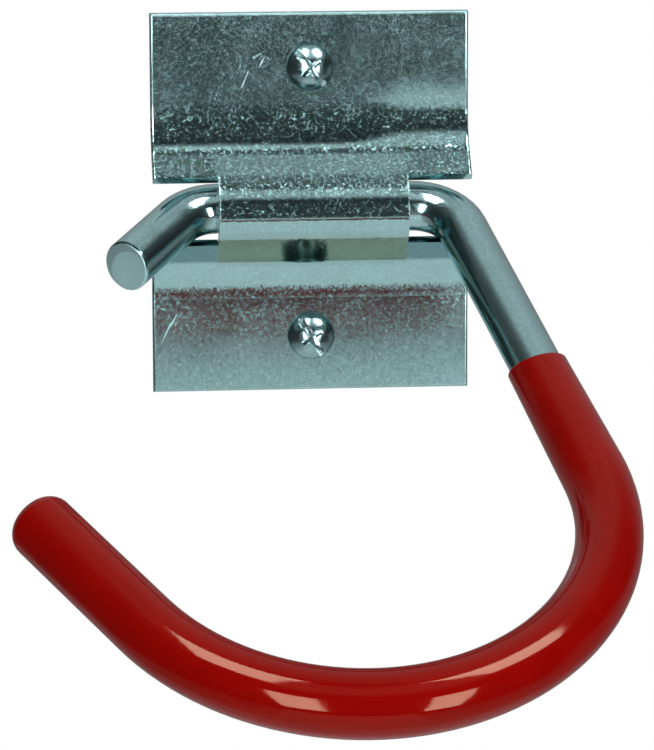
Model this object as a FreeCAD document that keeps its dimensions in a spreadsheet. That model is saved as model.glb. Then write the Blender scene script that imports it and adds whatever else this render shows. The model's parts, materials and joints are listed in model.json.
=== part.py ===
import FreeCAD, Part
import math
import os
import Sketcher

# A loose-hinged wall hook: a folded sheet bracket, a bent round bar trapped under the
# bracket's rolled tongue, a dipped soft coat on the bar's hook and two pan-head screws.
# Frame: the wall is the plane Y = 0 and the room is at -Y, +X is right and +Z is up.
# The origin is on the wall, midway between the two screws.

# Driving dimensions, in millimetres and degrees
DRIVING_SIZES = (
    ("plate_width", 64.0),
    ("plate_height", 76.5),
    ("sheet", 2.0),
    ("edge_round", 0.5),
    ("tongue_width", 38.0),
    ("web_angle", 45.0),
    ("upper_ear_angle", 42.0),
    ("bend_radius", 12.0),
    ("axis_drop", 0.6),
    ("wall_gap", 0.4),
    ("channel_gap", 0.4),
    ("seat_gap", 0.3),
    ("rod_diameter", 10.0),
    ("rod_bend_radius", 10.0),
    ("stub_side_gap", 0.3),
    ("stub_angle", 51.8),
    ("stub_length", 17.6),
    ("stub_shear", 13.0),
    ("stub_chamfer", 0.4),
    ("arm_side_gap", 1.0),
    ("arm_angle", 76.9),
    ("arm_length", 73.6),
    ("hook_radius", 47.4),
    ("hook_turn", 159.1),
    ("tip_length", 34.0),
    ("hook_slope", 32.0),
    ("hook_swing", 34.0),
    ("coated_arm", 30.8),
    ("sleeve_wall", 1.3),
    ("lip_wall", 0.7),
    ("lip_round", 0.55),
    ("lip_slant", 26.0),
    ("tip_wall", 1.5),
    ("tip_round", 3.2),
    ("screw_spacing", 54.4),
    ("screw_diameter", 5.0),
    ("neck_diameter", 4.4),
    ("screw_length", 40.0),
    ("screw_point", 7.0),
    ("hole_clearance", 0.3),
    ("head_diameter", 9.5),
    ("head_height", 3.3),
    ("head_rim", 0.9),
    ("slot_width", 1.3),
    ("slot_depth", 2.0),
    ("recess_span", 5.2),
    ("recess_arm", 1.5),
    ("recess_depth", 2.2),
    ("recess_taper", 12.0),
    ("upper_slot_angle", 50.0),
    ("lower_slot_angle", 58.0),
)

# Places that several pieces share, worked out from the driving dimensions
ROD_RADIUS = "(Sizes.rod_diameter / 2)"
AXIS_REACH = f"({ROD_RADIUS} + Sizes.wall_gap)"
CHANNEL_RADIUS = f"({ROD_RADIUS} + Sizes.channel_gap)"
BACK_BEND_RADIUS = "(Sizes.bend_radius + Sizes.sheet)"
WEB = "(Sizes.web_angle * 1 deg)"
BEND_HEIGHT = (
    f"(({CHANNEL_RADIUS} + {BACK_BEND_RADIUS} - ({BACK_BEND_RADIUS} - {AXIS_REACH}) * cos({WEB}))"
    f" / sin({WEB}))"
)
REST = "((90 - Sizes.hook_slope) * 1 deg)"
RAISED = "((90 - Sizes.hook_slope + Sizes.hook_swing) * 1 deg)"
SEAT_DISTANCE = f"({ROD_RADIUS} + Sizes.seat_gap)"
PIVOT_LEFT = "(Sizes.tongue_width / 2 + Sizes.stub_side_gap)"
PIVOT_RIGHT = "(Sizes.tongue_width / 2 + Sizes.arm_side_gap)"
STUB = "(Sizes.stub_angle * 1 deg)"
STUB_BLANK = f"(Sizes.stub_length + {ROD_RADIUS})"
STUB_X = f"(-{PIVOT_LEFT} - Sizes.rod_bend_radius * sin({STUB}) - Sizes.stub_length * cos({STUB}))"
STUB_Y = f"(-Sizes.rod_bend_radius * (1 - cos({STUB})) - Sizes.stub_length * sin({STUB}))"
ARM = "(Sizes.arm_angle * 1 deg)"
BARE_ARM = "(Sizes.arm_length - Sizes.coated_arm)"
LIP_X = f"({PIVOT_RIGHT} + Sizes.rod_bend_radius * sin({ARM}) + {BARE_ARM} * cos({ARM}))"
LIP_Y = f"(-Sizes.rod_bend_radius * (1 - cos({ARM})) - {BARE_ARM} * sin({ARM}))"
SLEEVE_RADIUS = f"({ROD_RADIUS} + Sizes.sleeve_wall)"
ROD_TIP_LENGTH = "(Sizes.tip_length - Sizes.tip_wall)"


def ear_root(ear):
    # How far an ear's back face stands in front of the pivot axis, and off its level, at the bend
    reach = f"({BACK_BEND_RADIUS} * (1 - cos({ear})) - {AXIS_REACH})"
    height = f"({BEND_HEIGHT} - {BACK_BEND_RADIUS} * sin({ear}))"
    return reach, height


# The lower ears lean as the resting bar slopes, so that it seats flat on their cut ends
UPPER_EAR = "(Sizes.upper_ear_angle * 1 deg)"
UPPER_ROOT = ear_root(UPPER_EAR)
UPPER_EAR_LENGTH = (
    f"(({UPPER_ROOT[1]} * sin({RAISED}) + {UPPER_ROOT[0]} * cos({RAISED}) - {SEAT_DISTANCE})"
    f" / sin({RAISED} - {UPPER_EAR}))"
)
LOWER_EAR = "(Sizes.hook_slope * 1 deg)"
LOWER_ROOT = ear_root(LOWER_EAR)
LOWER_EAR_LENGTH = f"({LOWER_ROOT[1]} * sin({REST}) - {LOWER_ROOT[0]} * cos({REST}) - {SEAT_DISTANCE})"

# Numbers that Sketcher uses for the points of a line or an arc, and for the sketch's own origin
START, END, CENTRE = range(1, 4)
ORIGIN = (-1, START)
HORIZONTAL_AXIS, VERTICAL_AXIS = range(-1, -3, -1)
TOLERANCE = 1e-4


def fill_sheet(doc):
    sheet = doc.addObject("Spreadsheet::Sheet", "Sizes")
    for row, (alias, value) in enumerate(DRIVING_SIZES, start=1):
        sheet.set(f"A{row}", alias)
        sheet.set(f"B{row}", str(value))
        sheet.setAlias(f"B{row}", alias)
    doc.recompute()


def number(owner, formula):
    value = owner.evalExpression(formula)
    return float(getattr(value, "Value", value))


def origin_plane(body, role):
    return next(feature for feature in body.Origin.OriginFeatures if feature.Role == role)


def new_sketch(body, name, role):
    sketch = body.newObject("Sketcher::SketchObject", name)
    sketch.AttachmentSupport = (origin_plane(body, role), [""])
    sketch.MapMode = "FlatFace"
    return sketch


def new_section(body, name, path, radius):
    # A round section across the start of the path's first edge
    sketch = body.newObject("Sketcher::SketchObject", name)
    sketch.AttachmentSupport = (path, ["Edge1"])
    sketch.MapMode = "NormalToEdge"
    outline = Part.Circle(FreeCAD.Vector(), FreeCAD.Vector(0, 0, 1), number(sketch, radius))
    circle = sketch.addGeometry(outline)
    fix(sketch, "Coincident", circle, CENTRE, *ORIGIN)
    drive(sketch, "radius", radius, "Radius", circle)
    return sketch


def point_on(centre, radius, degrees):
    angle = math.radians(degrees)
    return (centre[0] + radius * math.cos(angle), centre[1] + radius * math.sin(angle))


def line(sketch, start, end):
    return sketch.addGeometry(Part.LineSegment(FreeCAD.Vector(*start, 0), FreeCAD.Vector(*end, 0)))


def arc(sketch, centre, radius, first, last):
    circle = Part.Circle(FreeCAD.Vector(*centre, 0), FreeCAD.Vector(0, 0, 1), radius)
    return sketch.addGeometry(Part.ArcOfCircle(circle, math.radians(first), math.radians(last)))


def fix(sketch, *constraint):
    sketch.addConstraint(Sketcher.Constraint(*constraint))


def drive(sketch, name, formula, *constraint):
    value = sketch.evalExpression(formula)
    index = sketch.addConstraint(Sketcher.Constraint(*constraint, value))
    sketch.renameConstraint(index, name)
    sketch.setExpression(f"Constraints.{name}", formula)


def drive_angle(sketch, name, degrees, *constraint):
    drive(sketch, name, f"({degrees}) * 1 deg", "Angle", *constraint)


def close_loop(sketch, edges):
    for edge, following in zip(edges, edges[1:] + edges[:1]):
        fix(sketch, "Coincident", edge, END, following, START)


def feature(body, kind, name, profile):
    item = body.newObject(f"PartDesign::{kind}", name)
    item.Profile = profile
    return item


def bend_and_flange(sketch, name, side, radius, reach, angle):
    # One face of a flange and its bend: side is 1 above the bar and -1 below it
    height = number(sketch, "Sizes.plate_height / 2")
    bend = side * number(sketch, BEND_HEIGHT) - number(sketch, "Sizes.axis_drop")
    centre = (-number(sketch, BACK_BEND_RADIUS), bend)
    flange = line(sketch, (-reach, side * height), (-reach, bend))
    first, last = sorted((0, -side * angle))
    curve = arc(sketch, centre, number(sketch, radius), first, last)
    flange_end, web_end = (END, START) if side > 0 else (START, END)
    fix(sketch, "Tangent", flange, END, curve, flange_end)
    drive(sketch, f"{name}_bend_radius", radius, "Radius", curve)
    return flange, curve, web_end


def flange_pair(sketch, name, side, angle):
    # Back and front faces of one flange, its outer end and its two concentric bend faces
    back, back_bend, web_end = bend_and_flange(sketch, f"{name}_back", side, BACK_BEND_RADIUS, 0, angle)
    sheet = number(sketch, "Sizes.sheet")
    front, front_bend, _ = bend_and_flange(sketch, f"{name}_front", side, "Sizes.bend_radius", sheet, angle)
    height = side * number(sketch, "Sizes.plate_height / 2")
    end = line(sketch, (0, height), (-sheet, height))
    fix(sketch, "PointOnObject", back, START, VERTICAL_AXIS)
    fix(sketch, "PointOnObject", back, END, VERTICAL_AXIS)
    fix(sketch, "Vertical", front)
    fix(sketch, "Coincident", back_bend, CENTRE, front_bend, CENTRE)
    fix(sketch, "Coincident", end, START, back, START)
    fix(sketch, "Coincident", end, END, front, START)
    fix(sketch, "Horizontal", end)
    origin_to_end = (*ORIGIN, back, START) if side > 0 else (back, START, *ORIGIN)
    drive(sketch, f"{name}_height", "Sizes.plate_height / 2", "DistanceY", *origin_to_end)
    return back_bend, front_bend, web_end


def tongue_profile(body):
    # Side view of the middle strip: flange, bend, web, roll over the bar, web, bend, flange
    sketch = new_sketch(body, "tongue_profile", "YZ_Plane")
    angle = number(sketch, "Sizes.web_angle")
    axis = (-number(sketch, AXIS_REACH), -number(sketch, "Sizes.axis_drop"))
    upper = flange_pair(sketch, "upper", 1, angle)
    lower = flange_pair(sketch, "lower", -1, angle)
    rolls = []
    for face, name, radius in ((0, "inner", CHANNEL_RADIUS), (1, "outer", f"{CHANNEL_RADIUS} + Sizes.sheet")):
        size = number(sketch, radius)
        roll = arc(sketch, axis, size, 180 - angle, 180 + angle)
        drive(sketch, f"{name}_roll_radius", radius, "Radius", roll)
        bend_size = number(sketch, (BACK_BEND_RADIUS, "Sizes.bend_radius")[face])
        for side, (bends, roll_end) in ((1, (upper, START)), (-1, (lower, END))):
            bend_centre = (-number(sketch, BACK_BEND_RADIUS), side * number(sketch, BEND_HEIGHT) + axis[1])
            start = point_on(axis, size, 180 - side * angle)
            web = line(sketch, start, point_on(bend_centre, bend_size, -side * angle))
            fix(sketch, "Tangent", web, START, roll, roll_end)
            fix(sketch, "Tangent", web, END, bends[face], bends[2])
            if face == 0:
                turn = "90 - Sizes.web_angle" if side > 0 else "Sizes.web_angle - 90"
                drive_angle(sketch, "upper_web" if side > 0 else "lower_web", turn, web)
        rolls.append(roll)
    fix(sketch, "Coincident", rolls[0], CENTRE, rolls[1], CENTRE)
    drive(sketch, "axis_reach", AXIS_REACH, "DistanceX", rolls[0], CENTRE, *ORIGIN)
    drive(sketch, "axis_drop", "Sizes.axis_drop", "DistanceY", rolls[0], CENTRE, *ORIGIN)
    return sketch


def side_profile(body):
    # Side view of the strips beside the tongue: each web stops short of the bar as an ear
    sketch = new_sketch(body, "side_profile", "YZ_Plane")
    ears = (
        ("upper", 1, "Sizes.upper_ear_angle", UPPER_EAR_LENGTH),
        ("lower", -1, "Sizes.hook_slope", LOWER_EAR_LENGTH),
    )
    for name, side, lean, length in ears:
        angle = number(sketch, lean)
        back_bend, front_bend, web_end = flange_pair(sketch, name, side, angle)
        bend = side * number(sketch, BEND_HEIGHT) - number(sketch, "Sizes.axis_drop")
        centre = (-number(sketch, BACK_BEND_RADIUS), bend)
        back_root = point_on(centre, number(sketch, BACK_BEND_RADIUS), -side * angle)
        front_root = point_on(centre, number(sketch, "Sizes.bend_radius"), -side * angle)
        along = 180 + side * (90 - angle)
        back_tip = point_on(back_root, number(sketch, length), along)
        front_tip = point_on(front_root, number(sketch, length), along)
        back = line(sketch, back_tip, back_root)
        front = line(sketch, front_tip, front_root)
        cut = line(sketch, back_tip, front_tip)
        fix(sketch, "Tangent", back, END, back_bend, web_end)
        fix(sketch, "Tangent", front, END, front_bend, web_end)
        fix(sketch, "Coincident", back, START, cut, START)
        fix(sketch, "Coincident", front, START, cut, END)
        fix(sketch, "Parallel", front, back)
        fix(sketch, "Perpendicular", cut, back)
        drive(sketch, f"{name}_ear_length", length, "Distance", back)
        turn = f"90 - {lean}" if side > 0 else f"{lean} - 90"
        drive_angle(sketch, f"{name}_ear", turn, back)
        height = f"{BEND_HEIGHT} - Sizes.axis_drop" if side > 0 else f"{BEND_HEIGHT} + Sizes.axis_drop"
        to_bend = (*ORIGIN, back_bend, CENTRE) if side > 0 else (back_bend, CENTRE, *ORIGIN)
        drive(sketch, f"{name}_bend_height", height, "DistanceY", *to_bend)
    return sketch


def front_rim_edges(shape, half_width, half_height, axis_height):
    # The room-side edges along the plate's sides and along its upper and lower ends
    names = []
    for index, edge in enumerate(shape.Edges, start=1):
        middle = edge.valueAt((edge.FirstParameter + edge.LastParameter) / 2)
        box = edge.BoundBox
        on_side = abs(abs(middle.x) - half_width) < TOLERANCE and box.XLength < TOLERANCE
        on_end = abs(abs(middle.z) - half_height) < TOLERANCE and box.ZLength < TOLERANCE
        if not (on_side or on_end):
            continue
        away = math.copysign(1, middle.z - axis_height)
        for face in shape.ancestorsOfType(edge, Part.Face):
            normal = face.normalAt(*face.Surface.parameter(middle))
            faces_room = normal.y < -TOLERANCE and normal.z * away > -TOLERANCE
            if faces_room and abs(normal.x) < TOLERANCE:
                names.append(f"Edge{index}")
                break
    return names


def wall_bracket(doc):
    body = doc.addObject("PartDesign::Body", "wall_bracket")
    tongue = feature(body, "Pad", "tongue", tongue_profile(body))
    tongue.SideType = "Symmetric"
    tongue.setExpression("Length", "Sizes.tongue_width")
    doc.recompute()

    sketch = side_profile(body)
    sketch.setExpression("AttachmentOffset.Base.z", "Sizes.tongue_width / 2")
    side = feature(body, "Pad", "right_side", sketch)
    side.setExpression("Length", "(Sizes.plate_width - Sizes.tongue_width) / 2")
    doc.recompute()
    both_sides = body.newObject("PartDesign::Mirrored", "left_side")
    both_sides.Originals = [side]
    both_sides.MirrorPlane = (origin_plane(body, "YZ_Plane"), [""])
    body.Tip = both_sides
    doc.recompute()

    holes = new_sketch(body, "screw_hole_places", "XZ_Plane")
    radius = "Sizes.screw_diameter / 2 + Sizes.hole_clearance"
    spacing = number(holes, "Sizes.screw_spacing")
    for name, height in (("upper", spacing / 2), ("lower", -spacing / 2)):
        centre = FreeCAD.Vector(0, height, 0)
        hole = holes.addGeometry(Part.Circle(centre, FreeCAD.Vector(0, 0, 1), number(holes, radius)))
        fix(holes, "PointOnObject", hole, CENTRE, VERTICAL_AXIS)
        ends = (*ORIGIN, hole, CENTRE) if height > 0 else (hole, CENTRE, *ORIGIN)
        drive(holes, f"{name}_place", "Sizes.screw_spacing / 2", "DistanceY", *ends)
        drive(holes, f"{name}_radius", radius, "Radius", hole)
    drilled = feature(body, "Pocket", "screw_holes", holes)
    drilled.Type = "ThroughAll"
    drilled.Reversed = True
    solid_volume = both_sides.Shape.Volume
    doc.recompute()
    if drilled.Shape.Volume > solid_volume - TOLERANCE:
        raise RuntimeError("the screw holes cut nothing")

    rim = body.newObject("PartDesign::Fillet", "sheared_rim")
    half_width = number(body, "Sizes.plate_width / 2")
    half_height = number(body, "Sizes.plate_height / 2")
    axis_height = -number(body, "Sizes.axis_drop")
    rim.Base = (drilled, front_rim_edges(drilled.Shape, half_width, half_height, axis_height))
    rim.setExpression("Radius", "Sizes.edge_round")
    return body


def hang_on_pivot(body):
    # The bar and its coat are drawn level, reaching along -Y, and tip down about the pivot axis
    body.Placement = FreeCAD.Placement(FreeCAD.Vector(), FreeCAD.Rotation(FreeCAD.Vector(1, 0, 0), 1))
    body.setExpression("Placement.Base.y", f"-{AXIS_REACH}")
    body.setExpression("Placement.Base.z", "-Sizes.axis_drop")
    body.setExpression("Placement.Rotation.Angle", "Sizes.hook_slope * 1 deg")


def rod_path(body):
    # Centre line of the bar: stub, bend, pivot, bend, arm, round hook, tip
    sketch = new_sketch(body, "rod_path", "XY_Plane")
    bend = number(sketch, "Sizes.rod_bend_radius")
    left = -number(sketch, PIVOT_LEFT)
    right = number(sketch, PIVOT_RIGHT)
    stub_angle = number(sketch, "Sizes.stub_angle")
    arm_angle = number(sketch, "Sizes.arm_angle")
    turn = number(sketch, "Sizes.hook_turn")
    hook_size = number(sketch, "Sizes.hook_radius")

    stub_root = point_on((left, -bend), bend, 90 + stub_angle)
    stub_end = point_on(stub_root, number(sketch, STUB_BLANK), 180 + stub_angle)
    arm_root = point_on((right, -bend), bend, 90 - arm_angle)
    arm_end = point_on(arm_root, number(sketch, "Sizes.arm_length"), -arm_angle)
    hook_centre = point_on(arm_end, hook_size, -arm_angle - 90)
    tip_root = point_on(hook_centre, hook_size, 90 - arm_angle - turn)
    tip_end = point_on(tip_root, number(sketch, ROD_TIP_LENGTH), -arm_angle - turn)

    stub = line(sketch, stub_end, stub_root)
    stub_bend = arc(sketch, (left, -bend), bend, 90, 90 + stub_angle)
    pivot = line(sketch, (left, 0), (right, 0))
    arm_bend = arc(sketch, (right, -bend), bend, 90 - arm_angle, 90)
    arm = line(sketch, arm_root, arm_end)
    hook = arc(sketch, hook_centre, hook_size, 90 - arm_angle - turn, 90 - arm_angle)
    tip = line(sketch, tip_root, tip_end)

    fix(sketch, "Tangent", stub, END, stub_bend, END)
    fix(sketch, "Tangent", stub_bend, START, pivot, START)
    fix(sketch, "Tangent", pivot, END, arm_bend, END)
    fix(sketch, "Tangent", arm_bend, START, arm, START)
    fix(sketch, "Tangent", arm, END, hook, END)
    fix(sketch, "Tangent", hook, START, tip, START)
    fix(sketch, "PointOnObject", pivot, START, HORIZONTAL_AXIS)
    fix(sketch, "PointOnObject", pivot, END, HORIZONTAL_AXIS)
    drive(sketch, "pivot_left", PIVOT_LEFT, "DistanceX", pivot, START, *ORIGIN)
    drive(sketch, "pivot_right", PIVOT_RIGHT, "DistanceX", *ORIGIN, pivot, END)
    drive(sketch, "stub_bend_radius", "Sizes.rod_bend_radius", "Radius", stub_bend)
    drive(sketch, "arm_bend_radius", "Sizes.rod_bend_radius", "Radius", arm_bend)
    drive(sketch, "hook_radius", "Sizes.hook_radius", "Radius", hook)
    drive(sketch, "stub_length", STUB_BLANK, "Distance", stub)
    drive(sketch, "arm_length", "Sizes.arm_length", "Distance", arm)
    drive(sketch, "tip_length", ROD_TIP_LENGTH, "Distance", tip)
    drive_angle(sketch, "stub_angle", "Sizes.stub_angle", stub)
    drive_angle(sketch, "arm_angle", "-Sizes.arm_angle", arm)
    drive_angle(sketch, "tip_angle", "360 - Sizes.arm_angle - Sizes.hook_turn", tip)
    return sketch


def slant_cut(doc, body, name, place, turn, slant, forward):
    # Cuts the bar's axis off at a slant. The sketch stands on edge along the axis, with its origin
    # where the cut meets the axis and its Y axis square to the plane that the bar is bent in.
    before = body.Tip.Shape.Volume
    sketch = new_sketch(body, f"{name}_plane", "XZ_Plane")
    sketch.AttachmentOffset = FreeCAD.Placement(
        FreeCAD.Vector(), FreeCAD.Rotation(FreeCAD.Vector(0, 1, 0), 1)
    )
    sketch.setExpression("AttachmentOffset.Base.x", place[0])
    sketch.setExpression("AttachmentOffset.Base.z", f"-{place[1]}")
    sketch.setExpression("AttachmentOffset.Rotation.Angle", turn)
    size = number(sketch, "Sizes.rod_diameter")
    lean = math.tan(math.radians(number(sketch, slant))) * size
    far = size * 2 if forward else -size * 2
    cut = line(sketch, (-lean, -size), (lean, size))
    top = line(sketch, (lean, size), (far, size))
    back = line(sketch, (far, size), (far, -size))
    bottom = line(sketch, (far, -size), (-lean, -size))
    close_loop(sketch, [cut, top, back, bottom])
    fix(sketch, "Symmetric", cut, START, cut, END, *ORIGIN)
    fix(sketch, "Horizontal", top)
    fix(sketch, "Vertical", back)
    fix(sketch, "Horizontal", bottom)
    drive_angle(sketch, "slant", f"90 - {slant}", cut)
    drive(sketch, "height", "Sizes.rod_diameter * 2", "DistanceY", back, END, back, START)
    reach = (*ORIGIN, back, START) if forward else (back, START, *ORIGIN)
    drive(sketch, "reach", "Sizes.rod_diameter * 2", "DistanceX", *reach)
    pocket = feature(body, "Pocket", name, sketch)
    pocket.SideType = "Symmetric"
    pocket.setExpression("Length", "Sizes.rod_diameter * 2")
    doc.recompute()
    if pocket.Shape.Volume > before - TOLERANCE:
        raise RuntimeError(f"{name} cuts nothing")
    return pocket


def cut_rim(shape, centre):
    # The closed edge around the flat face that passes through a given point
    near = [face for face in shape.Faces if isinstance(face.Surface, Part.Plane)]
    face = min(near, key=lambda item: item.distToShape(Part.Vertex(centre))[0])
    edge = face.OuterWire.Edges[0]
    return f"Edge{1 + next(i for i, item in enumerate(shape.Edges) if item.isSame(edge))}"


def place_of(body, place):
    return FreeCAD.Vector(number(body, place[0]), number(body, place[1]), 0)


def hook_rod(doc):
    body = doc.addObject("PartDesign::Body", "hook_rod")
    path = rod_path(body)
    doc.recompute()
    bar = feature(body, "AdditivePipe", "bar", new_section(body, "bar_section", path, ROD_RADIUS))
    bar.Spine = path
    doc.recompute()
    turn = "(180 + Sizes.stub_angle) * 1 deg"
    sheared = slant_cut(doc, body, "sheared_end", (STUB_X, STUB_Y), turn, "(-Sizes.stub_shear)", True)
    chamfer = body.newObject("PartDesign::Chamfer", "end_burr")
    chamfer.Base = (sheared, [cut_rim(sheared.Shape, place_of(body, (STUB_X, STUB_Y)))])
    chamfer.setExpression("Size", "Sizes.stub_chamfer")
    hang_on_pivot(body)
    return body


def place_at_lip(sketch):
    # The sketch's own X axis runs down the arm from the place where the coat starts
    sketch.AttachmentOffset = FreeCAD.Placement(
        FreeCAD.Vector(), FreeCAD.Rotation(FreeCAD.Vector(0, 0, -1), 1)
    )
    sketch.setExpression("AttachmentOffset.Base.x", LIP_X)
    sketch.setExpression("AttachmentOffset.Base.y", LIP_Y)
    sketch.setExpression("AttachmentOffset.Rotation.Angle", ARM)


def coat_path(body, name, tip_length, overrun):
    # The bar's centre line back from a place on the tip to the arm, and on past the lip for the bore
    sketch = new_sketch(body, name, "XY_Plane")
    place_at_lip(sketch)
    arm_end = (number(sketch, "Sizes.coated_arm"), 0)
    size = number(sketch, "Sizes.hook_radius")
    turn = number(sketch, "Sizes.hook_turn")
    centre = (arm_end[0], -size)
    tip_root = point_on(centre, size, 90 - turn)
    tip = line(sketch, point_on(tip_root, number(sketch, tip_length), -turn), tip_root)
    hook = arc(sketch, centre, size, 90 - turn, 90)
    fix(sketch, "Tangent", tip, END, hook, START)
    fix(sketch, "Vertical", hook, CENTRE, hook, END)
    fix(sketch, "PointOnObject", hook, END, HORIZONTAL_AXIS)
    drive(sketch, "arm_end", "Sizes.coated_arm", "DistanceX", *ORIGIN, hook, END)
    drive(sketch, "hook_radius", "Sizes.hook_radius", "Radius", hook)
    drive_angle(sketch, "hook_turn", "180 - Sizes.hook_turn", tip)
    drive(sketch, "tip_length", tip_length, "Distance", tip)
    if overrun:
        arm = line(sketch, arm_end, (-number(sketch, overrun), 0))
        fix(sketch, "Tangent", hook, END, arm, START)
        drive(sketch, "overrun", overrun, "DistanceX", arm, END, *ORIGIN)
    return sketch


def lip_profile(body):
    # Half section of the coat on the arm, growing from the thin lip to the full wall
    sketch = new_sketch(body, "lip_profile", "XY_Plane")
    place_at_lip(sketch)
    thin = number(sketch, f"{ROD_RADIUS} + Sizes.lip_wall")
    back = -number(sketch, ROD_RADIUS)
    length = number(sketch, "Sizes.coated_arm")
    full = number(sketch, SLEEVE_RADIUS)
    face = line(sketch, (back, 0), (back, thin))
    slope = line(sketch, (back, thin), (length, full))
    end = line(sketch, (length, full), (length, 0))
    middle = line(sketch, (length, 0), (back, 0))
    close_loop(sketch, [face, slope, end, middle])
    fix(sketch, "PointOnObject", face, START, HORIZONTAL_AXIS)
    fix(sketch, "PointOnObject", end, END, HORIZONTAL_AXIS)
    fix(sketch, "Vertical", face)
    fix(sketch, "Vertical", end)
    drive(sketch, "overrun", ROD_RADIUS, "DistanceX", face, START, *ORIGIN)
    drive(sketch, "thin_radius", f"{ROD_RADIUS} + Sizes.lip_wall", "Distance", face)
    drive(sketch, "length", "Sizes.coated_arm", "DistanceX", *ORIGIN, end, END)
    drive(sketch, "full_radius", SLEEVE_RADIUS, "Distance", end)
    return sketch


def red_sleeve(doc):
    body = doc.addObject("PartDesign::Body", "red_sleeve")
    profile = lip_profile(body)
    doc.recompute()
    lip = feature(body, "Revolution", "arm_coat", profile)
    lip.ReferenceAxis = (profile, ["H_Axis"])
    lip.Angle = 360
    doc.recompute()
    turn = "(-Sizes.arm_angle) * 1 deg"
    slanted = slant_cut(doc, body, "dip_line", (LIP_X, LIP_Y), turn, "Sizes.lip_slant", False)
    round_lip = body.newObject("PartDesign::Fillet", "round_lip")
    round_lip.Base = (slanted, [cut_rim(slanted.Shape, place_of(body, (LIP_X, LIP_Y)))])
    round_lip.setExpression("Radius", "Sizes.lip_round")
    doc.recompute()

    path = coat_path(body, "coat_path", "Sizes.tip_length", None)
    doc.recompute()
    coat = feature(body, "AdditivePipe", "coat", new_section(body, "coat_section", path, SLEEVE_RADIUS))
    coat.Spine = path
    doc.recompute()
    tip_end = path.Placement.multVec(path.Geometry[0].StartPoint)
    round_tip = body.newObject("PartDesign::Fillet", "round_tip")
    round_tip.Base = (coat, [cut_rim(coat.Shape, tip_end)])
    round_tip.setExpression("Radius", "Sizes.tip_round")
    doc.recompute()

    bore_path = coat_path(body, "bore_path", ROD_TIP_LENGTH, "Sizes.rod_diameter")
    doc.recompute()
    bore = feature(body, "SubtractivePipe", "bore", new_section(body, "bore_section", bore_path, ROD_RADIUS))
    bore.Spine = bore_path
    doc.recompute()
    if bore.Shape.Volume > round_tip.Shape.Volume / 2:
        raise RuntimeError("the coat's bore is not cut")
    hang_on_pivot(body)
    return body


def screw_profile(body):
    # Half section of a pan-head screw: point, shank, plain neck in the sheet, underside, rim and dome
    sketch = new_sketch(body, "screw_profile", "XZ_Plane")
    shank = number(sketch, "Sizes.screw_diameter / 2")
    neck = number(sketch, "Sizes.neck_diameter / 2")
    sheet = number(sketch, "Sizes.sheet")
    length = number(sketch, "Sizes.screw_length")
    point = number(sketch, "Sizes.screw_point")
    head = number(sketch, "Sizes.head_diameter / 2")
    rim = number(sketch, "Sizes.head_rim")
    top = number(sketch, "Sizes.head_height")
    dome = top - rim
    dome_radius = (head**2 + dome**2) / (2 * dome)
    dome_centre = (0, top - dome_radius)
    rim_angle = math.degrees(math.atan2(rim - dome_centre[1], head))

    cone = line(sketch, (0, -length), (shank, point - length))
    side = line(sketch, (shank, point - length), (shank, -sheet))
    step = line(sketch, (shank, -sheet), (neck, -sheet))
    bare = line(sketch, (neck, -sheet), (neck, 0))
    under = line(sketch, (neck, 0), (head, 0))
    edge = line(sketch, (head, 0), (head, rim))
    crown = arc(sketch, dome_centre, dome_radius, rim_angle, 90)
    middle = line(sketch, (0, top), (0, -length))
    close_loop(sketch, [cone, side, step, bare, under, edge, crown, middle])
    fix(sketch, "Vertical", side)
    fix(sketch, "Horizontal", step)
    fix(sketch, "Vertical", bare)
    fix(sketch, "PointOnObject", under, START, HORIZONTAL_AXIS)
    fix(sketch, "Horizontal", under)
    fix(sketch, "Vertical", edge)
    fix(sketch, "PointOnObject", crown, CENTRE, VERTICAL_AXIS)
    fix(sketch, "PointOnObject", middle, START, VERTICAL_AXIS)
    fix(sketch, "PointOnObject", middle, END, VERTICAL_AXIS)
    drive(sketch, "shank_radius", "Sizes.screw_diameter / 2", "DistanceX", *ORIGIN, side, END)
    drive(sketch, "neck_radius", "Sizes.neck_diameter / 2", "DistanceX", *ORIGIN, under, START)
    drive(sketch, "neck_length", "Sizes.sheet", "Distance", bare)
    drive(sketch, "head_radius", "Sizes.head_diameter / 2", "DistanceX", *ORIGIN, under, END)
    drive(sketch, "rim", "Sizes.head_rim", "Distance", edge)
    drive(sketch, "head_height", "Sizes.head_height", "DistanceY", *ORIGIN, middle, START)
    drive(sketch, "screw_length", "Sizes.screw_length", "DistanceY", cone, START, *ORIGIN)
    drive(sketch, "point", "Sizes.screw_point", "DistanceY", cone, START, cone, END)
    return sketch


def head_sketch(body, name, slot_angle):
    # A sketch on the top of the head, with its X axis along the slot
    sketch = new_sketch(body, name, "XY_Plane")
    sketch.AttachmentOffset = FreeCAD.Placement(
        FreeCAD.Vector(), FreeCAD.Rotation(FreeCAD.Vector(0, 0, -1), 1)
    )
    sketch.setExpression("AttachmentOffset.Base.z", "Sizes.head_height")
    sketch.setExpression("AttachmentOffset.Rotation.Angle", f"{slot_angle} * 1 deg")
    return sketch


def bar_outline(sketch, length, width):
    # A rectangle centred on the sketch's origin
    half_length = number(sketch, length) / 2
    half_width = number(sketch, width) / 2
    corners = [(half_length, half_width), (-half_length, half_width)]
    corners += [(-x, -y) for x, y in corners]
    sides = [line(sketch, corners[i], corners[(i + 1) % 4]) for i in range(4)]
    close_loop(sketch, sides)
    for side, direction in zip(sides, ("Horizontal", "Vertical") * 2):
        fix(sketch, direction, side)
    fix(sketch, "Symmetric", sides[0], START, sides[2], START, *ORIGIN)
    drive(sketch, "length", length, "Distance", sides[0])
    drive(sketch, "width", width, "Distance", sides[1])


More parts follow.
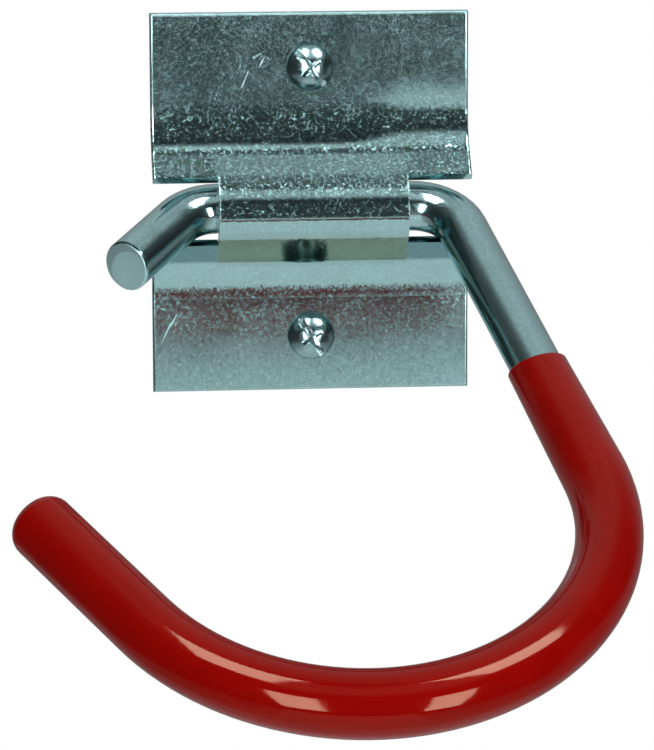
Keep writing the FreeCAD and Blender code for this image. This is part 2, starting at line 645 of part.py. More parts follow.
def cut_bar(doc, body, name, slot_angle, length, width, depth, taper):
    before = body.Tip.Shape.Volume
    sketch = head_sketch(body, f"{name}_outline", slot_angle)
    bar_outline(sketch, length, width)
    pocket = feature(body, "Pocket", name, sketch)
    pocket.setExpression("Length", depth)
    pocket.setExpression("TaperAngle", taper)
    doc.recompute()
    if pocket.Shape.Volume > before - TOLERANCE:
        raise RuntimeError(f"{name} cuts nothing")


def screw(doc, name, place, slot_angle):
    body = doc.addObject("PartDesign::Body", name)
    profile = screw_profile(body)
    turned = feature(body, "Revolution", "turned_blank", profile)
    turned.ReferenceAxis = (profile, ["V_Axis"])
    turned.Angle = 360
    doc.recompute()
    cut_bar(doc, body, "slot", slot_angle, "Sizes.head_diameter + Sizes.sheet", "Sizes.slot_width",
            "Sizes.slot_depth", "0 deg")
    cross_taper = "-Sizes.recess_taper * 1 deg"
    cut_bar(doc, body, "cross_along", slot_angle, "Sizes.recess_span", "Sizes.recess_arm",
            "Sizes.recess_depth", cross_taper)
    cut_bar(doc, body, "cross_over", f"(90 + {slot_angle})", "Sizes.recess_span", "Sizes.recess_arm",
            "Sizes.recess_depth", cross_taper)
    body.Placement = FreeCAD.Placement(FreeCAD.Vector(), FreeCAD.Rotation(FreeCAD.Vector(1, 0, 0), 90))
    body.setExpression("Placement.Base.y", "-Sizes.sheet")
    body.setExpression("Placement.Base.z", place)
    return body


def mounting_screws(doc):
    upper = screw(doc, "upper_screw", "Sizes.screw_spacing / 2", "Sizes.upper_slot_angle")
    lower = screw(doc, "lower_screw", "-Sizes.screw_spacing / 2", "Sizes.lower_slot_angle")
    pair = doc.addObject("Part::Compound", "mounting_screws")
    pair.Links = [upper, lower]
    return pair


def check(doc, pieces):
    for item in doc.Objects:
        if "Invalid" in item.State or "Error" in item.State:
            raise RuntimeError(f"{item.Name} failed: {item.State}")
    for piece in pieces:
        if piece.Shape.isNull() or not piece.Shape.isValid():
            raise RuntimeError(f"{piece.Label} has no valid shape")


doc = FreeCAD.newDocument("garage_utility_hook")
fill_sheet(doc)
pieces = [wall_bracket(doc), hook_rod(doc), red_sleeve(doc), mounting_screws(doc)]
doc.recompute()
check(doc, pieces)
os.makedirs("parts", exist_ok=True)
for piece in pieces:
    piece.Shape.exportStep(f"parts/{piece.Label}.step")
    box = piece.Shape.BoundBox
    print(piece.Label, len(piece.Shape.Solids), "solids", round(piece.Shape.Volume, 1), "mm3", box)
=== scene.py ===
import json
import math

import bmesh
import bpy
from mathutils import Matrix, Vector


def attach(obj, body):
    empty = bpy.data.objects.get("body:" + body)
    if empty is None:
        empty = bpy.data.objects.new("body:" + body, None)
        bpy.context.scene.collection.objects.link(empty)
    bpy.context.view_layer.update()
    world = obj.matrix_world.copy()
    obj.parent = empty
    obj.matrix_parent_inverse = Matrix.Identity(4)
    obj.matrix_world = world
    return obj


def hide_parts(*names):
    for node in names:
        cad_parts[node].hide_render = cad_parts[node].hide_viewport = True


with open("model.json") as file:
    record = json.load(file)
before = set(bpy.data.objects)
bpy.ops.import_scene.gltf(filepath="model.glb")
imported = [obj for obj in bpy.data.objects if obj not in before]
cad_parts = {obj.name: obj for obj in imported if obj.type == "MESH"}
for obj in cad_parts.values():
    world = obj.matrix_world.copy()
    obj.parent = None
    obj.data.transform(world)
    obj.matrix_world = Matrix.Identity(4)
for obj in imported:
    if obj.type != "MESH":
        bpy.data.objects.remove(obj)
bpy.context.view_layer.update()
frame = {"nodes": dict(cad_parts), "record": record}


# Wall bracket. One strip of zinc-plated steel sheet, slit beside the middle, pressed to a hat section
# and rolled to a tongue over the bar. The plating is a fine crystal speckle with thin scratches, duller
# on the flat flanges. A lean of the shading normal places its reflections as on uneven pressed sheet.

def link(tree, source, target):
    tree.links.new(source, target)


def add(tree, kind, **settings):
    node = tree.nodes.new(kind)
    for name, value in settings.items():
        setattr(node, name, value)
    return node


def feed(tree, sockets, values):
    # Each value is a socket to link or a plain number or vector to set
    for socket, value in zip(sockets, values):
        if isinstance(value, (int, float, tuple)):
            socket.default_value = value
        elif value is not None:
            link(tree, value, socket)


def calc(tree, operation, first, second=None, clamp=False):
    node = add(tree, "ShaderNodeMath", operation=operation, use_clamp=clamp)
    feed(tree, node.inputs, (first, second))
    return node.outputs[0]


def vector_calc(tree, operation, first, second=None):
    # A Vector Math node; for SCALE the second input is the factor
    node = add(tree, "ShaderNodeVectorMath", operation=operation)
    other = node.inputs["Scale"] if operation == "SCALE" else node.inputs[1]
    feed(tree, (node.inputs[0], other), (first, second))
    return node.outputs["Value" if operation in ("LENGTH", "DISTANCE", "DOT_PRODUCT") else "Vector"]


def remap(tree, value, low, high, new_low=0.0, new_high=1.0, smooth=False):
    node = add(tree, "ShaderNodeMapRange", interpolation_type="SMOOTHSTEP" if smooth else "LINEAR")
    link(tree, value, node.inputs["Value"])
    for name, number in (("From Min", low), ("From Max", high), ("To Min", new_low), ("To Max", new_high)):
        node.inputs[name].default_value = number
    return node.outputs["Result"]


def through(tree, value, stops):
    # Straight lines through (value, result) stops, on a colour ramp
    first, last = stops[0][0], stops[-1][0]
    least = min(result for _, result in stops)
    most = max(result for _, result in stops)
    ramp = add(tree, "ShaderNodeValToRGB")
    link(tree, remap(tree, value, first, last), ramp.inputs["Fac"])
    marks = ramp.color_ramp.elements
    for i, (position, result) in enumerate(stops):
        along = (position - first) / (last - first)
        mark = marks.new(along) if i >= len(marks) else marks[i]
        mark.position = along
        shade = (result - least) / (most - least)
        mark.color = (shade, shade, shade, 1.0)
    return remap(tree, ramp.outputs["Color"], 0.0, 1.0, least, most)


def noise(tree, vector, scale, detail=2.0, roughness=0.5):
    node = add(tree, "ShaderNodeTexNoise")
    link(tree, vector, node.inputs["Vector"])
    node.inputs["Scale"].default_value = scale
    node.inputs["Detail"].default_value = detail
    node.inputs["Roughness"].default_value = roughness
    return node.outputs["Fac"]


def parts_of(tree, vector):
    node = add(tree, "ShaderNodeSeparateXYZ")
    link(tree, vector, node.inputs["Vector"])
    return node.outputs["X"], node.outputs["Y"], node.outputs["Z"]


def new_group(name, inputs, outputs):
    # A node group with its input and output nodes
    group = bpy.data.node_groups.new(name, "ShaderNodeTree")
    for label, kind, value in inputs:
        socket = group.interface.new_socket(label, in_out="INPUT", socket_type=kind)
        if value is not None:
            socket.default_value = value
    for label, kind in outputs:
        group.interface.new_socket(label, in_out="OUTPUT", socket_type=kind)
    return group, add(group, "NodeGroupInput"), add(group, "NodeGroupOutput")


def make_zinc_plating():
    # Crystal grains 0.4 mm across, each with its own tone, slight tilt and roughness. The roughest ones
    # scatter light into dark reflections as fine speckle. Cloudy patches and thin scratches lie over them.
    group, given, result = new_group(
        "zinc_plating",
        [
            ("Position", "NodeSocketVector", None),
            ("Normal", "NodeSocketVector", None),
            ("Metal", "NodeSocketColor", (0.4, 0.5, 0.5, 1.0)),
            ("Gloss", "NodeSocketFloat", 0.2),
            ("Facets", "NodeSocketFloat", 1.0),
            ("Speckle", "NodeSocketFloat", 1.0),
            ("Scratches", "NodeSocketFloat", 1.0),
        ],
        [("Color", "NodeSocketColor"), ("Roughness", "NodeSocketFloat"), ("Normal", "NodeSocketVector")],
    )
    place = given.outputs["Position"]
    grains = add(group, "ShaderNodeTexVoronoi", feature="F1")
    link(group, place, grains.inputs["Vector"])
    grains.inputs["Scale"].default_value = 2500.0
    facet = vector_calc(group, "SUBTRACT", grains.outputs["Color"], (0.5, 0.5, 0.5))
    steep = calc(group, "POWER", vector_calc(group, "LENGTH", facet), 2.0)
    facet = vector_calc(group, "MULTIPLY", facet, (0.4, 1.0, 1.0))
    tilt = vector_calc(group, "SCALE", facet, calc(group, "MULTIPLY", steep, given.outputs["Facets"]))
    tilted = vector_calc(group, "ADD", given.outputs["Normal"], tilt)
    link(group, vector_calc(group, "NORMALIZE", tilted), result.inputs["Normal"])

    marks = None
    for angle, length in ((24, 160.0), (66, 220.0), (-52, 190.0)):
        turn = add(group, "ShaderNodeMapping", vector_type="TEXTURE")
        link(group, place, turn.inputs["Vector"])
        turn.inputs["Rotation"].default_value = (0.0, math.radians(angle), 0.0)
        turn.inputs["Scale"].default_value = (1 / 2200.0, 1 / 2200.0, 1 / length)
        thin = remap(group, noise(group, turn.outputs["Vector"], 1.0, 0.0), 0.80, 0.84)
        marks = thin if marks is None else calc(group, "MAXIMUM", marks, thin)
    rubbed = remap(group, noise(group, place, 60.0, 3.0, 0.6), 0.48, 0.64, smooth=True)
    marks = calc(group, "MULTIPLY", calc(group, "MULTIPLY", marks, rubbed), given.outputs["Scratches"])

    random = add(group, "ShaderNodeSeparateColor")
    link(group, grains.outputs["Color"], random.inputs["Color"])
    cloud = noise(group, place, 120.0, 4.0, 0.6)
    tone = remap(group, calc(group, "POWER", random.outputs["Red"], 4.0), 0.0, 1.0, 0.0, 0.75)
    tone = calc(group, "SUBTRACT", tone, remap(group, random.outputs["Blue"], 0.6, 1.0, 0.0, 0.3))
    tone = calc(group, "MULTIPLY", tone, given.outputs["Speckle"])
    tone = calc(group, "ADD", tone, remap(group, cloud, 0.3, 0.7, 0.92, 1.02))
    tone = calc(group, "ADD", tone, calc(group, "MULTIPLY", marks, 0.15))
    link(group, vector_calc(group, "SCALE", given.outputs["Metal"], tone), result.inputs["Color"])
    speckle = remap(group, random.outputs["Green"], 0.55, 1.0, 0.0, 0.16)
    speckle = calc(group, "MULTIPLY", speckle, given.outputs["Speckle"])
    rough = calc(group, "ADD", given.outputs["Gloss"], speckle)
    rough = calc(group, "ADD", rough, remap(group, cloud, 0.3, 0.7, -0.02, 0.02))
    rough = calc(group, "ADD", rough, calc(group, "MULTIPLY", marks, 0.12), clamp=True)
    link(group, rough, result.inputs["Roughness"])
    return group


zinc_plating = make_zinc_plating()


def zinc_material(name):
    # Plated steel; hands back the material, its plating node and its position and normal sockets
    material = bpy.data.materials.new(name)
    material.use_nodes = True
    tree = material.node_tree
    shader = tree.nodes["Principled BSDF"]
    shader.inputs["Metallic"].default_value = 1.0
    place = add(tree, "ShaderNodeTexCoord").outputs["Object"]
    normal = add(tree, "ShaderNodeNewGeometry").outputs["Normal"]
    plating = add(tree, "ShaderNodeGroup", node_tree=zinc_plating)
    link(tree, place, plating.inputs["Position"])
    link(tree, normal, plating.inputs["Normal"])
    link(tree, plating.outputs["Color"], shader.inputs["Base Color"])
    link(tree, plating.outputs["Roughness"], shader.inputs["Roughness"])
    link(tree, plating.outputs["Normal"], shader.inputs["Normal"])
    return material, plating, place, normal


bracket = frame["nodes"]["wall_bracket"]
half_width = max(vert.co.x for vert in bracket.data.vertices)
half_height = max(vert.co.z for vert in bracket.data.vertices)
tongue_half_width = 0.019
sheet_zinc, plating, place, normal = zinc_material("zinc_sheet_finish")
tree = sheet_zinc.node_tree
across, _, height = parts_of(tree, place)
from_middle = calc(tree, "ABSOLUTE", across)
from_level = calc(tree, "ABSOLUTE", height)
# How far the normal tips down at each height, as a slope. The upper bend tips further except on its
# right, and the upper flange further on its right.
sheet_lean = (
    (-0.0385, 0.148),
    (-0.0330, 0.140),
    (-0.0290, 0.133),
    (-0.0255, 0.12),
    (-0.0195, 0.115),
    (-0.0168, -0.04),
    (-0.0155, -0.06),
    (-0.0135, -0.05),
    (-0.0120, 0.0),
    (-0.0112, 0.17),
    (-0.0066, 0.13),
    (-0.0060, 0.0),
    (0.0036, 0.0),
    (0.0048, 0.10),
    (0.0062, 0.08),
    (0.0066, 0.0),
    (0.0165, 0.0),
    (0.0205, 0.152),
    (0.0250, 0.154),
    (0.0310, 0.132),
    (0.0380, 0.05),
)
upper_bend_lean = (
    (0.0105, 0.0),
    (0.0112, 0.05),
    (0.0119, 0.20),
    (0.0130, 0.22),
    (0.0145, 0.15),
    (0.0165, 0.0),
)
right_flange_lean = (
    (0.0168, 0.0),
    (0.0174, 0.115),
    (0.0190, 0.105),
    (0.0216, 0.06),
    (0.0250, 0.02),
    (0.0285, 0.0),
)
on_left = remap(tree, across, 0.022, 0.005, smooth=True)
on_right = remap(tree, across, 0.005, 0.022, smooth=True)
lean = through(tree, height, sheet_lean)
lean = calc(tree, "ADD", lean, calc(tree, "MULTIPLY", through(tree, height, upper_bend_lean), on_left))
lean = calc(tree, "ADD", lean, calc(tree, "MULTIPLY", through(tree, height, right_flange_lean), on_right))
drop = add(tree, "ShaderNodeCombineXYZ")
link(tree, calc(tree, "MULTIPLY", lean, -1.0), drop.inputs["Z"])
link(tree, vector_calc(tree, "ADD", normal, drop.outputs["Vector"]), plating.inputs["Normal"])
# The cut edges of the tongue and the plate are rubbed, so they scatter more light
tongue_rub = (
    (tongue_half_width - 0.0005, 0.0),
    (tongue_half_width - 0.0002, 1.0),
    (tongue_half_width + 0.0001, 1.0),
    (tongue_half_width + 0.0002, 0.0),
)
tongue_height = ((-0.0066, 0.0), (-0.0060, 1.0), (0.0062, 1.0), (0.0070, 0.0))
tongue_edge = through(tree, from_middle, tongue_rub)
tongue_edge = calc(tree, "MULTIPLY", tongue_edge, through(tree, height, tongue_height))
side_edge = remap(tree, from_middle, half_width - 0.0006, half_width - 0.0002)
end_edge = remap(tree, from_level, half_height - 0.00075, half_height - 0.00035)
rubbed = calc(tree, "MAXIMUM", calc(tree, "MAXIMUM", tongue_edge, side_edge), end_edge)
flat = remap(tree, from_level, 0.016, 0.021, smooth=True)
gloss = remap(tree, flat, 0.0, 1.0, 0.10, 0.16)
gloss = calc(tree, "ADD", gloss, calc(tree, "MULTIPLY", rubbed, 0.14))
link(tree, gloss, plating.inputs["Gloss"])
speckle = (
    (-0.0385, 0.2),
    (-0.0290, 0.22),
    (-0.0250, 0.4),
    (-0.0190, 0.5),
    (-0.0170, 0.15),
    (-0.0022, 0.15),
    (-0.0012, 0.8),
    (0.0165, 0.8),
    (0.0205, 0.34),
    (0.0380, 0.34),
)
link(tree, through(tree, height, speckle), plating.inputs["Speckle"])
link(tree, remap(tree, flat, 0.0, 1.0, 0.1, 0.03), plating.inputs["Facets"])
# Painted reflections mixed into the metal's colour: the tongue's underside gets a painted green reflection
# of the lower flange, and the lower ears beside it a darker painted reflection
low = through(tree, height, ((-0.0118, 0.0), (-0.0112, 1.0), (-0.0066, 1.0), (-0.0060, 0.0)))
beside = calc(tree, "GREATER_THAN", from_middle, tongue_half_width + 0.00005)
painted_low_reflection = add(tree, "ShaderNodeMix", data_type="RGBA")
link(tree, beside, painted_low_reflection.inputs["Factor"])
painted_low_reflection.inputs["A"].default_value = (0.35, 0.46, 0.36, 1.0)
painted_low_reflection.inputs["B"].default_value = (0.16, 0.31, 0.33, 1.0)
metal_with_painted_reflection = add(tree, "ShaderNodeMix", data_type="RGBA")
link(tree, low, metal_with_painted_reflection.inputs["Factor"])
metal_with_painted_reflection.inputs["A"].default_value = (0.347, 0.56, 0.571, 1.0)
link(tree, painted_low_reflection.outputs["Result"], metal_with_painted_reflection.inputs["B"])
link(tree, metal_with_painted_reflection.outputs["Result"], plating.inputs["Metal"])
bracket.material_slots[0].material = sheet_zinc


# Hook rod. A round steel bar, sheared to length and bent cold: a stub, the pivot under the tongue,
# the arm, the round hook and the tip. It is zinc plated after bending, so the plating is unbroken
# and smoother than on the sheet, with a dull face where the shears cut the stub's end.

bar_zinc, plating, place, _ = zinc_material("zinc_bar_finish")
tree = bar_zinc.node_tree
plating.inputs["Scratches"].default_value = 0.3
shear_centre = (-0.03804, -0.02037, -0.00995)
shear_normal = (-0.602, -0.769, -0.215)
from_centre = vector_calc(tree, "SUBTRACT", place, shear_centre)
on_plane = remap(tree, vector_calc(tree, "DOT_PRODUCT", from_centre, shear_normal), -0.00012, -0.00004)
near = remap(tree, vector_calc(tree, "LENGTH", from_centre), 0.0080, 0.0075)
sheared = calc(tree, "MULTIPLY", on_plane, near)
# The shears bite from the upper left: a smooth bright crescent first, then the dull torn face
torn_centre = (-0.0370, -0.0206, -0.0113)
torn = remap(tree, vector_calc(tree, "DISTANCE", place, torn_centre), 0.0046, 0.0049)
link(tree, remap(tree, sheared, 0.0, 1.0, 0.04, 0.0), plating.inputs["Facets"])
link(tree, remap(tree, sheared, 0.0, 1.0, 0.2, 0.0), plating.inputs["Speckle"])
dull = calc(tree, "MULTIPLY", sheared, remap(tree, torn, 0.0, 1.0, 0.42, 0.30))
link(tree, calc(tree, "ADD", dull, 0.13), plating.inputs["Gloss"])
# The cut face is paler, with a thin dark line where the crescent ends
step = through(tree, torn, ((0.0, 0.0), (0.5, 1.0), (1.0, 0.0)))
face = add(tree, "ShaderNodeMix", data_type="RGBA")
link(tree, step, face.inputs["Factor"])
face.inputs["A"].default_value = (0.45, 0.68, 0.69, 1.0)
face.inputs["B"].default_value = (0.30, 0.45, 0.46, 1.0)
metal = add(tree, "ShaderNodeMix", data_type="RGBA")
link(tree, sheared, metal.inputs["Factor"])
metal.inputs["A"].default_value = (0.36, 0.57, 0.59, 1.0)
link(tree, face.outputs["Result"], metal.inputs["B"])
link(tree, metal.outputs["Result"], plating.inputs["Metal"])
frame["nodes"]["hook_rod"].material_slots[0].material = bar_zinc


# Red sleeve. A soft plastic coat, made by dipping the heated bar: glossy and even, with a rounded lip
# along the slanted dip line on the arm. It is bonded to the bar.

coat = bpy.data.materials.new("red_dip_coat")
coat.use_nodes = True
tree = coat.node_tree
shader = tree.nodes["Principled BSDF"]
shader.inputs["Specular IOR Level"].default_value = 0.25
shader.inputs["Specular Tint"].default_value = (1.0, 0.7, 0.5, 1.0)
place = add(tree, "ShaderNodeTexCoord").outputs["Object"]
tint = add(tree, "ShaderNodeMix", data_type="RGBA")
link(tree, remap(tree, noise(tree, place, 70.0, 4.0, 0.6), 0.3, 0.7), tint.inputs["Factor"])
tint.inputs["A"].default_value = (0.265, 0.0014, 0.0005, 1.0)
tint.inputs["B"].default_value = (0.305, 0.0022, 0.0009, 1.0)
link(tree, tint.outputs["Result"], shader.inputs["Base Color"])
haze = remap(tree, noise(tree, place, 400.0, 3.0, 0.6), 0.3, 0.7, 0.06, 0.10)
link(tree, haze, shader.inputs["Roughness"])
peel = add(tree, "ShaderNodeBump")
link(tree, noise(tree, place, 260.0, 1.0), peel.inputs["Height"])
peel.inputs["Strength"].default_value = 0.5
peel.inputs["Distance"].default_value = 0.00003
link(tree, peel.outputs["Normal"], shader.inputs["Normal"])
frame["nodes"]["red_sleeve"].material_slots[0].material = coat


# Mounting screws. Two pan-head screws of zinc-plated steel, turned and thread rolled, with a slot and a
# cross recess struck in the head. They hold the bracket's flanges to the wall.

millimetre = 0.001
sheet_thickness = 2.0
head_top = -5.3
head_radius = 4.75
rim_top = -2.9
neck_radius = 2.2
core_radius = 1.7
crest_radius = 2.5
point_start = 31.0
point_end = 38.0
pitch = 2.2
slot_width = 1.3
slot_depth = 2.0
recess_span = 5.2
recess_arm = 1.5
recess_depth = 2.2
recess_taper = math.tan(math.radians(12))
slot_angles = {"upper_screw": 50.0, "lower_screw": 58.0}
screw_spacing = frame["record"]["mounts"][0]["dims"]["spacing_y_mm"]

screw_zinc, plating, _, _ = zinc_material("zinc_screw_finish")
plating.inputs["Metal"].default_value = (0.30, 0.47, 0.49, 1.0)
plating.inputs["Gloss"].default_value = 0.2
plating.inputs["Facets"].default_value = 0.03
plating.inputs["Speckle"].default_value = 0.2
plating.inputs["Scratches"].default_value = 0.3


def new_object(name, bm):
    mesh = bpy.data.meshes.new(name)
    bm.to_mesh(mesh)
    bm.free()
    item = bpy.data.objects.new(name, mesh)
    bpy.context.scene.collection.objects.link(item)
    return item


def turned_blank():
    # Half section from the top of the head to the point, spun about the screw's axis
    bm = bmesh.new()
    rise = rim_top - head_top
    dome_radius = (head_radius**2 + rise**2) / (2 * rise)
    centre = (0.0, head_top + dome_radius, 0.0)
    top = bm.verts.new((0.0, head_top, 0.0))
    swing = math.asin(head_radius / dome_radius)
    spun = bmesh.ops.spin(bm, geom=[top], cent=centre, axis=(0, 0, 1), angle=swing, steps=10)
    last = spun["geom_last"][0]
    for radius, depth in (
        (head_radius, -sheet_thickness),
        (neck_radius, -sheet_thickness),
        (neck_radius, 0.0),
        (core_radius, 0.5),
        (core_radius, point_start),
        (0.0, point_end),
    ):
        following = bm.verts.new((radius, depth, 0.0))
        bm.edges.new((last, following))
        last = following
    bmesh.ops.spin(
        bm, geom=bm.edges[:], cent=(0, 0, 0), axis=(0, 1, 0), angle=math.tau, steps=64, use_merge=True
    )
    bmesh.ops.remove_doubles(bm, verts=bm.verts, dist=0.001)
    rim = [
        edge
        for edge in bm.edges
        if all(abs(v.co.y - rim_top) < 0.01 and v.co.xz.length > head_radius - 0.01 for v in edge.verts)
    ]
    bmesh.ops.bevel(bm, geom=rim, offset=0.35, segments=4, profile=0.5, affect="EDGES", material=-1)
    bmesh.ops.recalc_face_normals(bm, faces=bm.faces)
    return new_object("blank", bm)


def recess_cutter(name, length, width, depth, taper, angle):
    # A bar from above the head down to its depth, narrower at the bottom
    bm = bmesh.new()
    bmesh.ops.create_cube(bm, size=1.0)
    over = 1.0
    bmesh.ops.scale(bm, verts=bm.verts, vec=(length, depth + over, width))
    bmesh.ops.translate(bm, verts=bm.verts, vec=(0.0, head_top + (depth - over) / 2, 0.0))
    for vert in bm.verts:
        shrink = (vert.co.y - head_top) * taper
        vert.co.x -= math.copysign(shrink, vert.co.x)
        vert.co.z -= math.copysign(shrink, vert.co.z)
    turn = Matrix.Rotation(math.radians(angle), 3, "Y")
    bmesh.ops.rotate(bm, verts=bm.verts, cent=(0, 0, 0), matrix=turn)
    bmesh.ops.recalc_face_normals(bm, faces=bm.faces)
    return new_object(name, bm)


def add_thread(bm):
    # A ridge wound on the core, right-handed. It rises over the first turn and runs out on the point.
    start = 1.0
    steps = 28
    turns = (point_end - start - pitch) / pitch
    root = core_radius - 0.2
    section = [(root, -0.62), (crest_radius, -0.08), (crest_radius, 0.08), (root, 0.62)]
    before = set(bm.verts)
    corners = [bm.verts.new((radius, start + off, 0.0)) for radius, off in section]
    ring = [bm.edges.new((corners[i - 1], corners[i])) for i in range(len(corners))]
    bmesh.ops.spin(
        bm,
        geom=corners + ring,
        cent=(0, 0, 0),
        axis=(0, 1, 0),
        dvec=(0.0, pitch / steps, 0.0),
        angle=math.tau * turns,
        steps=round(turns * steps),
    )
    ridge = [vert for vert in bm.verts if vert not in before]
    for vert in ridge:
        radius = vert.co.xz.length
        rise = min(max((vert.co.y - start + 0.62) / pitch, 0.0), 1.0)
        run_out = min((point_end - vert.co.y) / (point_end - point_start), 1.0)
        wanted = (root + (radius - root) * rise) * max(run_out, 0.08)
        vert.co.x *= wanted / radius
        vert.co.z *= wanted / radius
    ends = [edge for edge in bm.edges if edge.is_boundary]
    bmesh.ops.holes_fill(bm, edges=ends, sides=len(section))


def make_screw(name, height):
    angle = slot_angles[name]
    blank = turned_blank()
    cutters = [
        recess_cutter("slot", 3 * head_radius, slot_width, slot_depth, 0.0, angle),
        recess_cutter("cross_along", recess_span, recess_arm, recess_depth, recess_taper, angle),
        recess_cutter("cross_over", recess_span, recess_arm, recess_depth, recess_taper, angle + 90),
    ]
    for cutter in cutters:
        cut = blank.modifiers.new(cutter.name, "BOOLEAN")
        cut.operation = "DIFFERENCE"
        cut.solver = "EXACT"
        cut.object = cutter
    edge = blank.modifiers.new("worn_edge", "BEVEL")
    edge.limit_method = "ANGLE"
    edge.angle_limit = math.radians(40)
    edge.width = 0.09
    edge.segments = 2
    finished = bpy.data.meshes.new_from_object(blank.evaluated_get(bpy.context.evaluated_depsgraph_get()))
    bm = bmesh.new()
    bm.from_mesh(finished)
    for item in [blank] + cutters:
        bpy.data.objects.remove(item)
    add_thread(bm)
    bmesh.ops.recalc_face_normals(bm, faces=bm.faces)
    bmesh.ops.scale(bm, verts=bm.verts, vec=(millimetre, millimetre, millimetre))
    bmesh.ops.translate(bm, verts=bm.verts, vec=(0.0, 0.0, height * millimetre))
    screw = new_object(name, bm)
    screw.data.shade_smooth()
    screw.data.set_sharp_from_angle(angle=math.radians(32))
    screw.data.materials.append(screw_zinc)
    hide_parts("mounting_screws")
    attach(screw, "bracket")


make_screw("upper_screw", screw_spacing / 2)
make_screw("lower_screw", -screw_spacing / 2)


# Studio. A pale floor, a white surround, two tall strip lamps either side of the camera, two softboxes
# above and a faint one behind. A dome of glowing drapes and pale cards that only gloss can see gives the
# bright metal something dark to mirror on the camera's side; its glow stands in for a lit room.

aim = Vector((0.0, -0.06, -0.03))


def towards(azimuth, elevation):
    # A direction from the object: azimuth 0 is to the front, positive to the right
    a = math.radians(azimuth)
    e = math.radians(elevation)
    return Vector((math.sin(a) * math.cos(e), -math.cos(a) * math.cos(e), math.sin(e)))


def facing(azimuth, elevation, distance):
    # A place that far from the object, with its Z axis pointing away
    way = towards(azimuth, elevation)
    return Matrix.Translation(aim + way * distance) @ way.to_track_quat("Z", "Y").to_matrix().to_4x4()


def glow(name, radiance=1.0):
    # A surface that shines and mirrors nothing; its strength can be linked later
    material = bpy.data.materials.new(name)
    material.use_nodes = True
    shader = material.node_tree.nodes["Principled BSDF"]
    shader.inputs["Base Color"].default_value = (0.0, 0.0, 0.0, 1.0)
    shader.inputs["Specular IOR Level"].default_value = 0.0
    shader.inputs["Emission Color"].default_value = (1.0, 1.0, 1.0, 1.0)
    shader.inputs["Emission Strength"].default_value = radiance
    return material


def only_for_gloss(item):
    item.visible_camera = False
    item.visible_diffuse = False
    item.visible_shadow = False


def softbox(name, azimuth, elevation, wide, tall, radiance, front=0.0):
    # An area lamp by the angles that it fills as seen from the object. Gloss sees its glowing front
    # in place of the lamp, and sees it much weaker in a mirror of a mirror.
    distance = 1.3
    half_wide = distance * math.tan(math.radians(wide / 2))
    half_tall = distance * math.tan(math.radians(tall / 2))
    lamp = bpy.data.lights.new(name, "AREA")
    lamp.shape = "RECTANGLE"
    lamp.size = 2 * half_wide
    lamp.size_y = 2 * half_tall
    lamp.energy = radiance * math.pi * lamp.size * lamp.size_y
    item = bpy.data.objects.new(name, lamp)
    bpy.context.scene.collection.objects.link(item)
    item.matrix_world = facing(azimuth, elevation, distance)
    item.visible_glossy = False
    if front:
        bm = bmesh.new()
        bmesh.ops.create_grid(bm, x_segments=1, y_segments=1, size=1.0)
        bmesh.ops.scale(bm, verts=bm.verts, vec=(half_wide, half_tall, 1.0))
        bmesh.ops.transform(bm, verts=bm.verts, matrix=facing(azimuth, elevation, distance))
        card = new_object(f"{name}_front", bm)
        shine = glow(f"{name}_glow")
        tree = shine.node_tree
        depth = add(tree, "ShaderNodeLightPath").outputs["Ray Depth"]
        strength = tree.nodes["Principled BSDF"].inputs["Emission Strength"]
        link(tree, remap(tree, depth, 1.0, 2.0, front, 1.5), strength)
        card.data.materials.append(shine)
        only_for_gloss(card)


softbox("left_strip", -19, 1, 15, 35, 5.4, front=15.0)
softbox("right_strip", 28, -3, 13, 36, 6.1, front=15.0)
softbox("left_overhead", -33, 59, 18, 28, 3.2, front=16.0)
softbox("right_overhead", 52, 55, 19, 25, 6.5, front=16.0)
softbox("backdrop", 180, 10, 70, 60, 0.9)


floor_height = -0.8
floor_radius = 2.4
paper = bpy.data.materials.new("white_paper")
paper.use_nodes = True
tree = paper.node_tree
shader = tree.nodes["Principled BSDF"]
shader.inputs["Base Color"].default_value = (0.6, 0.6, 0.6, 1.0)
shader.inputs["Roughness"].default_value = 1.0
shader.inputs["Specular IOR Level"].default_value = 0.0
shader.inputs["Emission Color"].default_value = (1.0, 1.0, 1.0, 1.0)
# It glows evenly pale to the camera, and for gloss a painted pool of glow lies brightest right below the
# object
place = add(tree, "ShaderNodeTexCoord").outputs["Object"]
from_middle = vector_calc(tree, "DISTANCE", place, (0.0, 0.0, floor_height))
painted_glow_pool = remap(tree, from_middle, 0.45, 0.8, 0.3, 0.0)
rays = add(tree, "ShaderNodeLightPath")
painted_glow_pool = calc(tree, "MULTIPLY", rays.outputs["Is Glossy Ray"], painted_glow_pool)
pale = calc(tree, "MULTIPLY", rays.outputs["Is Camera Ray"], 0.45)
link(tree, calc(tree, "ADD", painted_glow_pool, pale), shader.inputs["Emission Strength"])
bm = bmesh.new()
bmesh.ops.create_circle(bm, cap_ends=True, segments=96, radius=floor_radius)
bmesh.ops.translate(bm, verts=bm.verts, vec=(0.0, 0.0, floor_height))
floor = new_object("floor", bm)
floor.data.materials.append(paper)


def blend(tree, share, first, second):
    node = add(tree, "ShaderNodeMix", data_type="FLOAT")
    feed(tree, (node.inputs["Factor"], node.inputs["A"], node.inputs["B"]), (share, first, second))
    return node.outputs["Result"]


dome_radius = 1.7
dome_foot = -27
glowing_drapes = glow("glowing_drapes_and_cards")
tree = glowing_drapes.node_tree
way = vector_calc(tree, "NORMALIZE", add(tree, "ShaderNodeTexCoord").outputs["Object"])
right_way, back_way, up_way = parts_of(tree, way)
degree = math.degrees(1)
elevation = calc(tree, "MULTIPLY", calc(tree, "ARCSINE", up_way), degree)
front_way = calc(tree, "MULTIPLY", back_way, -1.0)
azimuth = calc(tree, "MULTIPLY", calc(tree, "ARCTAN2", right_way, front_way), degree)
turned = calc(tree, "ABSOLUTE", azimuth)
